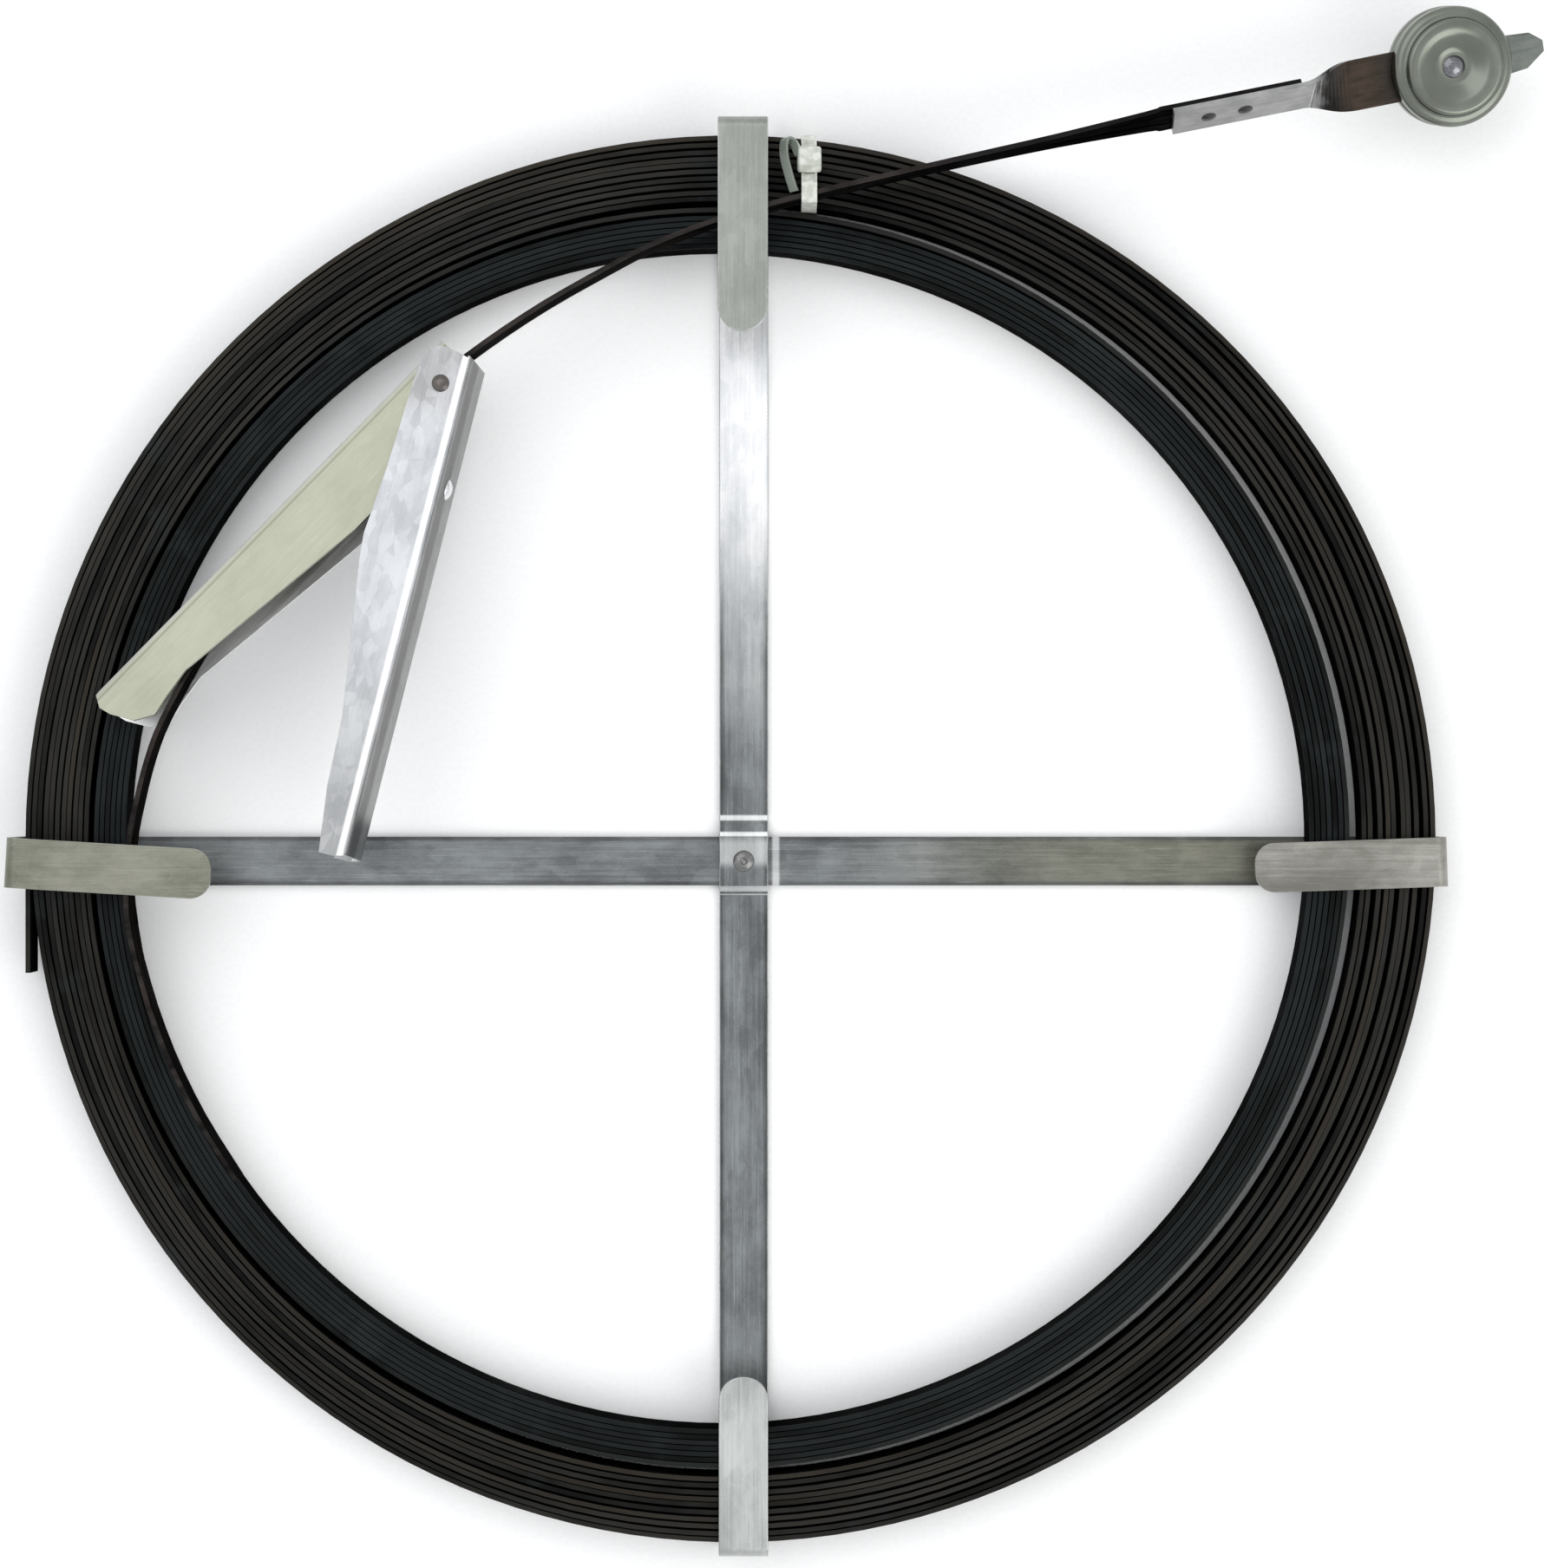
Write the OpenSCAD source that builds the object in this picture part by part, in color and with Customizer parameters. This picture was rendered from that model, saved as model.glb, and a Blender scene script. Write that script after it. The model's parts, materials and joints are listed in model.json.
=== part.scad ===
/* [Cross frame] */
// Width of the flat steel straps
strap_w = 16; // [14:0.5:18]
// Thickness of the straps
strap_t = 2; // [1.6:0.1:2.2]
// Distance from the centre to the outside of the top hook
top_reach = 238.6; // [238.6:0.1:240]
// Distance from the centre to the outside of the bottom hook
bottom_reach = 225.5; // [223:0.5:228]
// Distance from the centre to the outside of the left hook
left_reach = 236.3; // [236.3:0.1:238]
// Distance from the centre to the outside of the right hook
right_reach = 228.5; // [227:0.5:231]
// Inside radius of the bends at the hooks
bend_r = 1.8; // [1.2:0.1:1.8]

/* [Tape] */
// Height of the flat tape, across its face
tape_h = 12.7; // [12:0.1:13]
// Thickness of the tape
tape_t = 1.6; // [1.4:0.1:1.6]
// Turns in the coil
turns = 17; // [16:1:17]
// Turns in the tight inner pack
inner_turns = 6; // [5:1:6]
// Length of the loose tail at the outer end
tail_len = 43; // [20:1:60]

/* [Handle] */
// Sheet thickness of both levers
lever_t = 1.4; // [1.2:0.1:1.4]
// Outside width of the inner channel
channel_w = 18.6; // [18:0.1:18.6]
// Lean of the handle about its own length
handle_lean = 9; // [8:0.5:10]
// Radius of the pivot rivet's shank
pivot_r = 2; // [1.6:0.1:2]

/* [Roller] */
// Largest radius of the roller
roller_r = 19; // [17:0.5:20]
// Half width of the roller
roller_half = 10; // [9.5:0.5:11]
// Radius of the roller's sleeve, which turns in the tongue
sleeve_r = 4; // [3.5:0.5:4.5]

/* [Hidden] */
$fn = 96;
run_gap = 0.05;                       // radial clearance of a shaft that turns

// The object lies on its back: z = 0 is the back of the straps, and the cross centre is the origin.
coil_x = -5;                          // the coil sits a little off the cross centre
coil_y = 7;
coil_z = strap_t + 0.5;                // the tape's edges rest on the insides of the bends
coil_top = coil_z + tape_h;
centre_rivet_r = 2.5;

// Hooks: [reach, distance of the tab's inner end, height of the tab's underside, skew]
left_hook = [left_reach, 170, 30.6, -3.4];
right_hook = [right_reach, 165.7, coil_top + 0.3, 2];
top_hook = [top_reach, 169.7, 33.9, 0];
bottom_hook = [bottom_reach, 166.7, coil_top + 0.3, 0];

// Distance of each layer of tape from the coil's centre, on its left and on its right.
left_first = 194.5;
left_last = 227.2;
right_first = 189.5;
right_last = 228.8;
left_tight = 1.75;                    // pitch of the tight inner pack
right_tight = 1.9;
left_split = 1.4;                     // extra gap between the two packs
right_split = 3;
function layer(k, first, last, tight, split, n) =
    k <= inner_turns ? first + k * tight
    : let (a = first + inner_turns * tight + split)
      a + (k - inner_turns) * (last - a) / (n - inner_turns);
function left_at(k) = layer(k, left_first, left_last, left_tight, left_split, turns);
function right_at(k) = layer(k, right_first, right_last, right_tight, right_split, turns - 1);

// Where the innermost turn starts to lift out of the coil.
lift_angle = 215;
first_r = (left_first + right_first) / 2;
first_x = coil_x + (right_first - left_first) / 2;

// The handle rides on an arc of the tape, and turns about the centre of that arc.
arc_x = 108;
arc_y = -100.7;
arc_r = 328;
lead_z = 26.8;                        // middle of the tape where it crosses in front of the coil
pivot = [-94.9, 151.6, 26.4];
channel_dir = 225.6;                  // from the pivot to the channel's free end
lever_dir = 256.6;
channel_len = 150;
channel_web = 10;                     // from the pivot to the outside of the channel's web
lever_len = 154;
lever_web = 8;
lever_gap = 0.35;                     // between the channel's and the lever's side walls
lever_w = channel_w + 2 * (lever_t + lever_gap);
shoe_at = 31.4;                       // from the pivot to the shoe rivet
shoe_reach = 9.5;
shoe_w = 13;
shoe_rivet_r = 2;

// The tongue: a strip from the tape's end to beyond the roller, which twists half way.
tongue_start = [137.9, 237.9, 27.4];
tongue_dir = 11.3;
tongue_t = 2;
plate_w = 13;
blade_w = 16;
plate_len = 43;
twist_len = 17;
blade_end = 121;
roller_at = 90.4;
plate_roll = 70;                      // roll about the tongue's length: 90 stands on edge
blade_roll = 13;
tongue_rivet_r = 1.6;
tongue_rivet_at = [11.5, 23.5];
tape_on_tongue = (tongue_t + tape_t) / 2;

// ---------------------------------------------------------------- sheet metal

// One bend of a strap about a line along Y, from heading +X up to heading +Z.
module strap_bend(width) {
    rotate([90, 0, 0])
        translate([0, 0, -width / 2])
            rotate([0, 0, -90])
                rotate_extrude(angle = 90)
                    translate([bend_r, 0])
                        square([strap_t, width]);
}

// Flat shape of a tab: straight sides, and corners rounded to corner_r at its inner end.
module tab_outline(length, corner_r) {
    r = min(corner_r, strap_w / 2);
    translate([r - length, -strap_w / 2])
        square([length - r, strap_w]);
    translate([-length, r - strap_w / 2])
        square([r + 1, strap_w - 2 * r + 0.001]);
    for (side = [-1, 1])
        translate([r - length, side * (strap_w / 2 - r)])
            circle(r);
}

// A hook that ends an arm along +X: stub, riser, two bends and a tab that points back inward.
module hook(spec, corner_r) {
    reach = spec[0];
    tab_z = spec[2];
    bend = bend_r + strap_t;
    stub = 6;
    translate([reach - bend, 0, 0])
        rotate([0, 0, spec[3]]) {
            translate([-stub, -strap_w / 2, 0])
                cube([stub, strap_w, strap_t]);
            translate([0, 0, bend])
                strap_bend(strap_w);
            translate([bend_r, -strap_w / 2, bend])
                cube([strap_t, strap_w, tab_z + strap_t - 2 * bend]);
            translate([0, 0, tab_z]) {
                translate([0, 0, strap_t - bend])
                    mirror([0, 0, 1])
                        strap_bend(strap_w);
                linear_extrude(strap_t)
                    tab_outline(reach - bend - spec[1], corner_r);
            }
        }
}

// Straight part of an arm, from the distance start to the hook's lower bend.
module arm(spec, start) {
    translate([start, -strap_w / 2, 0])
        cube([spec[0] - bend_r - strap_t - 2 - start, strap_w, strap_t]);
}

// ---------------------------------------------------------------- cross frame

// Side view of the vertical strap where it steps over the other strap.
module joggle_outline() {
    flat = strap_w / 2 + 0.4;
    steep = 2.5;
    gentle = 5;
    polygon([[-flat - steep, 0], [-flat, strap_t], [flat, strap_t], [flat + gentle, 0],
             [flat + gentle, strap_t], [flat, 2 * strap_t], [-flat, 2 * strap_t], [-flat - steep, strap_t]]);
}

module cross_strap_vertical() {
    flat = strap_w / 2 + 0.4;
    color("silver")
    difference() {
        union() {
            rotate([0, 0, 90]) {
                arm(top_hook, flat + 5);
                hook(top_hook, strap_w / 2);
            }
            rotate([0, 0, -90]) {
                arm(bottom_hook, flat + 2.5);
                hook(bottom_hook, strap_w / 2);
            }
            translate([-strap_w / 2, 0, 0])
                rotate([90, 0, 90])
                    linear_extrude(strap_w)
                        joggle_outline();
        }
        translate([0, 0, strap_t - 1])
            cylinder(h = strap_t + 2, r = centre_rivet_r);
    }
}

module cross_strap_horizontal() {
    color("silver")
    difference() {
        union() {
            arm(right_hook, -1);
            hook(right_hook, 6.5);
            rotate([0, 0, 180]) {
                arm(left_hook, -1);
                hook(left_hook, 6.5);
            }
        }
        translate([0, 0, -1])
            cylinder(h = strap_t + 2, r = centre_rivet_r);
    }
}

// Domed head in front, with a punch mark, and a flush tail.
module centre_rivet() {
    head_r = 3.6;
    head_h = 1.5;
    color("gainsboro")
    difference() {
        union() {
            translate([0, 0, 0.1])
                cylinder(h = 2 * strap_t, r = centre_rivet_r);
            translate([0, 0, 2 * strap_t])
                rivet_head(head_r, head_h);
        }
        translate([0, 0, 2 * strap_t + head_h + 0.6])
            sphere(r = 1.4);
    }
}

// A low domed head that stands on z = 0.
module rivet_head(r, h) {
    dome_r = (r * r + h * h) / (2 * h);
    intersection() {
        cylinder(h = h, r = r);
        translate([0, 0, h - dome_r])
            sphere(r = dome_r);
    }
}

// ---------------------------------------------------------------- tape

// Half a turn of tape, from angle start over sweep degrees, about the point [x, coil_y].
module turn(x, r, start, sweep) {
    translate([x, coil_y, coil_z])
        rotate([0, 0, start])
            rotate_extrude(angle = sweep)
                translate([r - tape_t / 2, 0])
                    square([tape_t, tape_h]);
}

module tape_coil() {
    color("darkslategray") {
        turn(first_x, first_r, 0, lift_angle - 360);
        for (k = [1 : turns - 1]) {
            a = left_at(k);
            b = right_at(k);
            turn(coil_x + (b - a) / 2, (a + b) / 2, 180, 180);
        }
        for (k = [0 : turns - 1]) {
            a = left_at(k + 1);
            b = right_at(k);
            turn(coil_x + (b - a) / 2, (a + b) / 2, 0, 180);
        }
        translate([coil_x - left_at(turns) - tape_t / 2, coil_y - tail_len, coil_z])
            cube([tape_t, tail_len, tape_h]);
    }
}

function smooth(t) = t * t * (3 - 2 * t);
// A point of the tongue's centre line, and its normal at a roll.
function tongue_point(s) = tongue_start + s * [cos(tongue_dir), sin(tongue_dir), 0];
function tongue_normal(roll) =
    [sin(tongue_dir) * sin(roll), -cos(tongue_dir) * sin(roll), cos(roll)];

// Route of the tape from the coil to the tongue: [x, y, z of its middle, roll from standing on edge].
coil_mid = coil_z + tape_h / 2;
lift_step = 7;
lift_len = 156;                       // length of tape over which it lifts
lift_keys = [for (i = [0 : 4])
    let (a = lift_angle - i * lift_step, s = i * lift_step * PI / 180 * first_r)
    [first_x + first_r * cos(a), coil_y + first_r * sin(a),
     coil_mid + (lead_z - coil_mid) * smooth(s / lift_len), 0]];
hook_keys = [[-196.9, 5, 23.7, 0], [-194, 19.5, 25.4, 0], [-190.3, 33.3, 26.5, 0]];
arc_keys = [for (a = [153.5 : -4 : 117.5])
    [arc_x + arc_r * cos(a), arc_y + arc_r * sin(a), lead_z, 0]];
cross_keys = [[-30, 197.2, lead_z, 0], [-9.5, 205.2, lead_z, 0], [15, 212.3, lead_z, 0],
              [42.7, 219, lead_z, 0], [72, 225.6, lead_z, 1], [101, 231.9, lead_z, 4]];
tongue_keys = [for (s = [-8, -4, 0, 16, 29, 42])
    let (p = tongue_point(s) - tape_on_tongue * tongue_normal(plate_roll))
    [p[0], p[1], p[2], (90 - plate_roll) * min(1, 1.3 + 0.075 * s)]];
lead_keys = concat(lift_keys, hook_keys, arc_keys, cross_keys, tongue_keys);

// A smooth curve through the keys: each span is cut into lead_steps pieces.
lead_steps = 3;
last_key = len(lead_keys) - 1;
function key(i) = lead_keys[max(0, min(last_key, i))];
function blend(i, t) = let (a = key(i - 1), b = key(i), c = key(i + 1), d = key(i + 2))
    0.5 * (2 * b + t * (c - a) + t * t * (2 * a - 5 * b + 4 * c - d)
           + t * t * t * (3 * b - a - 3 * c + d));
lead_path = concat([for (i = [0 : last_key - 1], j = [0 : lead_steps - 1]) blend(i, j / lead_steps)],
                   [lead_keys[last_key]]);
last_ring = len(lead_path) - 1;
function heading(i) = let (a = lead_path[max(0, i - 1)], b = lead_path[min(last_ring, i + 1)])
    i == 0 ? lift_angle - 90
    : i == last_ring ? tongue_dir
    : atan2(b[1] - a[1], b[0] - a[0]);

// The four corners of the tape's section at a ring of its route.
function corners(i) = let (p = lead_path[i], h = heading(i), roll = p[3],
    up = [-sin(h) * sin(roll), cos(h) * sin(roll), cos(roll)] * tape_h / 2,
    out = [sin(h) * cos(roll), -cos(h) * cos(roll), sin(roll)] * tape_t / 2,
    m = [p[0], p[1], p[2]])
    [m - up - out, m - up + out, m + up + out, m + up - out];

// A solid swept along a list of four-cornered rings.
module swept(rings) {
    n = len(rings);
    points = [for (ring = rings, corner = ring) corner];
    sides = [for (i = [0 : n - 2], j = [0 : 3])
        [4 * i + j, 4 * i + (j + 1) % 4, 4 * i + 4 + (j + 1) % 4, 4 * i + 4 + j]];
    tris = [for (q = sides, t = [[q[0], q[1], q[2]], [q[0], q[2], q[3]]]) t];
    first_cap = [[0, 2, 1], [0, 3, 2]];
    e = 4 * (n - 1);
    last_cap = [[e, e + 1, e + 2], [e, e + 2, e + 3]];
    polyhedron(points = points, faces = concat(tris, first_cap, last_cap));
}

module tape_lead() {
    color("dimgray")
    difference() {
        swept([for (i = [0 : last_ring]) corners(i)]);
        for (s = tongue_rivet_at)
            on_tongue(s, plate_roll)
                translate([0, 0, -8])
                    cylinder(h = 12, r = tongue_rivet_r);
    }
}

// ---------------------------------------------------------------- cable tie

tie_x = 21.2;
tie_w = 5;
tie_t = 1.1;
tie_slot_y = 212;                   // the tie dips through the gap between the two packs
tie_out_y = 235;
tie_top_z = 33.5;
tie_crest_y = 215.6;
tie_low_z = 2.2;
tie_slope = atan2(tie_top_z - coil_top - 0.3, tie_out_y - tie_crest_y);

// Side view of the band's inside, or of its outside when grown by t.
module tie_outline(t) {
    polygon([[tie_slot_y - t, tie_low_z - t], [tie_out_y + t, tie_low_z - t],
             [tie_out_y + t, coil_top + 0.3 + t * 0.4], [tie_crest_y + t * 0.4, tie_top_z + t],
             [tie_slot_y - t, tie_top_z + t]]);
}

module cable_tie() {
    head = [8, 9.5, 4.6];
    color("ivory") {
        translate([tie_x - tie_w / 2, 0, 0])
            rotate([90, 0, 90])
                linear_extrude(tie_w)
                    difference() {
                        tie_outline(tie_t);
                        tie_outline(0);
                    }
        translate([tie_x, (tie_crest_y + tie_out_y) / 2 - 2, (tie_top_z + coil_top) / 2 + 2])
            rotate([-tie_slope, 0, 0])
                translate([-head[0] / 2, -head[1] / 2, 0])
                    cube(head);
    }
}

// ---------------------------------------------------------------- clamp handle

// Places children in the handle's frame: x runs from the pivot along dir, z along the pivot.
module on_handle(dir) {
    translate(pivot)
        rotate(a = handle_lean, v = [cos(channel_dir), sin(channel_dir), 0])
            rotate([0, 0, dir])
                children();
}

// A folded sheet: side walls of the given outline and a web at y from web_y to web_y + lever_t.
module folded(width, web_y, web_start, web_end) {
    for (side = [-1, 1])
        translate([0, 0, side * (width - lever_t) / 2 - lever_t / 2])
            linear_extrude(lever_t)
                children();
    translate([web_start, web_y, -width / 2])
        cube([web_end - web_start, lever_t, width]);
}

module channel_outline() {
    polygon([[-10, -channel_web], [-10, -3], [-8, 1.5], [-2, 6], [10, 7], [30, 10.5],
             [45, 13], [52, 13], [122, 5.5], [132, 7], [139, 8.6], [145, 5], [149, -2],
             [channel_len, -6], [channel_len - 2, -channel_web + 0.3], [channel_len - 4, -channel_web]]);
}

module clamp_channel() {
    color("beige")
    on_handle(channel_dir)
    difference() {
        folded(channel_w, -channel_web, -10, channel_len - 4)
            channel_outline();
        translate([0, 0, -channel_w])
            cylinder(h = 2 * channel_w, r = pivot_r);
    }
}

module pivot_rivet() {
    shank = lever_w + 0.4;
    color("gainsboro")
    on_handle(channel_dir) {
        translate([0, 0, -shank / 2])
            cylinder(h = shank, r = pivot_r);
        for (flip = [0, 1])
            mirror([0, 0, flip])
                translate([0, 0, shank / 2])
                    rivet_head(2.9, 1.2);
    }
}

// Width and side direction of the lever: y = 0 is on the pivot, its web is at +lever_web.
module lever_outline() {
    polygon([[-9.5, lever_web], [-11, 3], [-12, -3], [-10, -6.5], [-6, -8], [0, -8.7], [30, -10.2],
             [44, -11.4], [52, -12.2], [60, -11.6], [111, -4.2], [133, -3.4], [lever_len, -0.8],
             [lever_len, 4], [lever_len - 1, lever_web]]);
}

module clamp_lever() {
    color("lightgray")
    on_handle(lever_dir)
    difference() {
        folded(lever_w, lever_web - lever_t, -10.6, lever_len - 1)
            lever_outline();
        translate([0, 0, -lever_w])
            cylinder(h = 2 * lever_w, r = pivot_r + run_gap);
        translate([shoe_at, lever_web + 1, 0])
            rotate([90, 0, 0])
                cylinder(h = lever_t + 2, r = shoe_rivet_r);
    }
}

// The shoe squeezes the tape against the channel's web.
module clamp_shoe() {
    foot = lever_web - lever_t;
    color("gray")
    on_handle(lever_dir)
    difference() {
        translate([shoe_at, 0, -shoe_w / 2])
            linear_extrude(shoe_w)
                polygon([[-7, foot], [7, foot], [7, foot - 3], [5, -shoe_reach + 2.5], [3, -shoe_reach + 1],
                         [0, -shoe_reach + 0.3], [-4, -shoe_reach], [-6, -shoe_reach + 1.5], [-7, 0]]);
        translate([shoe_at, lever_web, 0])
            rotate([90, 0, 0])
                cylinder(h = lever_t + 8, r = shoe_rivet_r);
    }
}

module shoe_rivet() {
    color("gainsboro")
    on_handle(lever_dir)
    translate([shoe_at, lever_web, 0])
        rotate([-90, 0, 0]) {
            translate([0, 0, -lever_t - 8])
                cylinder(h = lever_t + 8, r = shoe_rivet_r);
            rivet_head(3.4, 1.5);
        }
}

// ---------------------------------------------------------------- tongue and roller

// Places children on the tongue: x along it from the distance s, z along its normal.
module on_tongue(s, roll) {
    translate(tongue_point(s))
        rotate([0, 0, tongue_dir])
            rotate([roll, 0, 0])
                children();
}

// The corners of the twisted stretch at a share t of its length.
function twist_ring(t) = let (
    roll = plate_roll + (blade_roll - plate_roll) * smooth(t),
    half = (plate_w + (blade_w - plate_w) * smooth(t)) / 2,
    m = tongue_point(plate_len + t * twist_len),
    side = [-sin(tongue_dir) * cos(roll), cos(tongue_dir) * cos(roll), sin(roll)] * half,
    face = tongue_normal(roll) * tongue_t / 2)
    [m - side - face, m - side + face, m + side + face, m + side - face];

module roller_tongue() {
    twist_rings = 14;
    start = plate_len + twist_len;
    color("rosybrown") {
        difference() {
            on_tongue(0, plate_roll)
                translate([0, -plate_w / 2, -tongue_t / 2])
                    cube([plate_len, plate_w, tongue_t]);
            for (s = tongue_rivet_at)
                on_tongue(s, plate_roll)
                    translate([0, 0, -5])
                        cylinder(h = 10, r = tongue_rivet_r);
        }
        swept([for (i = [0 : twist_rings]) twist_ring(i / twist_rings)]);
        difference() {
            on_tongue(0, blade_roll)
                translate([0, 0, -tongue_t / 2])
                    linear_extrude(tongue_t)
                        polygon([[start, -blade_w / 2], [102, -blade_w / 2], [108, -6.2], [115, -5.4],
                                 [blade_end, -1], [blade_end, 2.5], [117, 5.6], [108, 6.2],
                                 [102, blade_w / 2], [start, blade_w / 2]]);
            on_tongue(roller_at, blade_roll)
                translate([0, 0, -5])
                    cylinder(h = 10, r = sleeve_r + run_gap);
        }
    }
}

module tongue_rivet(s) {
    head_h = 0.7;
    color("slategray")
    on_tongue(s, plate_roll) {
        translate([0, 0, -tongue_t / 2 - tape_t])
            cylinder(h = tongue_t + tape_t, r = tongue_rivet_r);
        translate([0, 0, tongue_t / 2])
            rivet_head(2.5, head_h);
        translate([0, 0, -tongue_t / 2 - tape_t])
            mirror([0, 0, 1])
                rivet_head(2.5, head_h);
    }
}

module tongue_rivet_inner() {
    tongue_rivet(tongue_rivet_at[0]);
}

module tongue_rivet_outer() {
    tongue_rivet(tongue_rivet_at[1]);
}

sleeve_half = 1.6;                    // half the sleeve's length: it keeps the cups off the tongue
dish_r = 7;                           // the dish in the middle of each cup
cup_t = 1.4;
roller_rivet_r = 2.5;

// One pressed cup, as a turned shell: flange at the tongue, step, front face and central dish.
module roller_cup() {
    step_r = roller_r - 4;
    rim = 5.2;
    floor_z = sleeve_half + 3.4;
    rotate_extrude()
        polygon([[roller_r - 3, sleeve_half], [roller_r - 0.7, sleeve_half], [roller_r, sleeve_half + 0.8],
                 [roller_r, rim], [roller_r - 0.5, rim + 1.1], [step_r + 1.2, rim + 2],
                 [step_r + 0.4, rim + 2.7], [step_r, roller_half - 1], [step_r - 0.9, roller_half],
                 [dish_r + 4, roller_half], [dish_r + 2.5, roller_half - 0.6], [dish_r - 1.2, floor_z + cup_t],
                 [roller_rivet_r, floor_z + cup_t], [roller_rivet_r, sleeve_half],
                 [sleeve_r + 1.5, sleeve_half], [sleeve_r + 1.5, floor_z],
                 [dish_r - 0.6, floor_z], [dish_r + 3.4, roller_half - cup_t - 0.2],
                 [step_r - 1.6, roller_half - cup_t], [step_r - 1.2, rim + 1.3],
                 [roller_r - cup_t, rim - 0.4], [roller_r - cup_t, sleeve_half + 1.3],
                 [roller_r - 3, sleeve_half + 1.3]]);
}

module roller_cup_front() {
    color("silver")
    on_tongue(roller_at, blade_roll)
        roller_cup();
}

module roller_cup_back() {
    color("silver")
    on_tongue(roller_at, blade_roll)
        mirror([0, 0, 1])
            roller_cup();
}

module roller_sleeve() {
    color("goldenrod")
    on_tongue(roller_at, blade_roll)
        translate([0, 0, -sleeve_half])
            difference() {
                cylinder(h = 2 * sleeve_half, r = sleeve_r);
                translate([0, 0, -1])
                    cylinder(h = 2 * sleeve_half + 2, r = roller_rivet_r);
            }
}

module roller_rivet() {
    seat = sleeve_half + 3.4 + cup_t;
    color("gainsboro")
    on_tongue(roller_at, blade_roll) {
        translate([0, 0, -seat])
            cylinder(h = 2 * seat, r = roller_rivet_r);
        for (flip = [0, 1])
            mirror([0, 0, flip])
                translate([0, 0, seat])
                    rivet_head(3.7, 1.5);
    }
}

cross_strap_vertical();
cross_strap_horizontal();
centre_rivet();
tape_coil();
tape_lead();
cable_tie();
clamp_channel();
pivot_rivet();
clamp_lever();
clamp_shoe();
shoe_rivet();
roller_tongue();
tongue_rivet_inner();
tongue_rivet_outer();
roller_cup_front();
roller_cup_back();
roller_sleeve();
roller_rivet();
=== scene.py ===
"""Looks for a flat drain tape: coil on a strap cross, clamp handle, and roller head.

Everything is in metres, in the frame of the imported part. MM turns the part's millimetres into metres.
"""

import json
import math

import bmesh
import bpy
from mathutils import Matrix, Vector


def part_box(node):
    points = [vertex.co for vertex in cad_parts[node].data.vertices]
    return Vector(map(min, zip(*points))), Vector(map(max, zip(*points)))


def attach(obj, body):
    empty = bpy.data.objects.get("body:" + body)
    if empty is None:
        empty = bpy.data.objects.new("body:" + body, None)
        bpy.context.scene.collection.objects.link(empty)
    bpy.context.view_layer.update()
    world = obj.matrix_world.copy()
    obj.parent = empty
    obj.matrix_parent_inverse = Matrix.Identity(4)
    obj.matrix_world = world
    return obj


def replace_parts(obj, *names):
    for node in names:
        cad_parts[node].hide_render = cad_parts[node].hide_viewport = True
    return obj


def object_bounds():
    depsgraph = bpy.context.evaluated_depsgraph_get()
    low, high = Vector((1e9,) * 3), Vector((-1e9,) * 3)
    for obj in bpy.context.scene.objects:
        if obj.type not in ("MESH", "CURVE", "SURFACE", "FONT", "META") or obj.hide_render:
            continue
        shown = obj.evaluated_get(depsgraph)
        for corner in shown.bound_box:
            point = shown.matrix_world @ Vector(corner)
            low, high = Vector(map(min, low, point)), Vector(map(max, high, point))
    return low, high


MM = 0.001

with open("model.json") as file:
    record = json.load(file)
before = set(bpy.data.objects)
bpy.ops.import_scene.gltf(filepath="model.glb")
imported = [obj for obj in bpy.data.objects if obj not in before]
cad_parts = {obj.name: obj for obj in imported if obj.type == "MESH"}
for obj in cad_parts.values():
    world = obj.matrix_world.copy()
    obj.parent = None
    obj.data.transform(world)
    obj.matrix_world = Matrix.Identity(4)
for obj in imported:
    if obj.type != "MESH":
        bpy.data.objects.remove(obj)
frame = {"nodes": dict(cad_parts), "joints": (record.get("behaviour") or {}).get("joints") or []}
nodes = frame["nodes"]
joints = {j["name"]: j for j in frame["joints"]}
cad_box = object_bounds()


# ---------------------------------------------------------------- node materials


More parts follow.
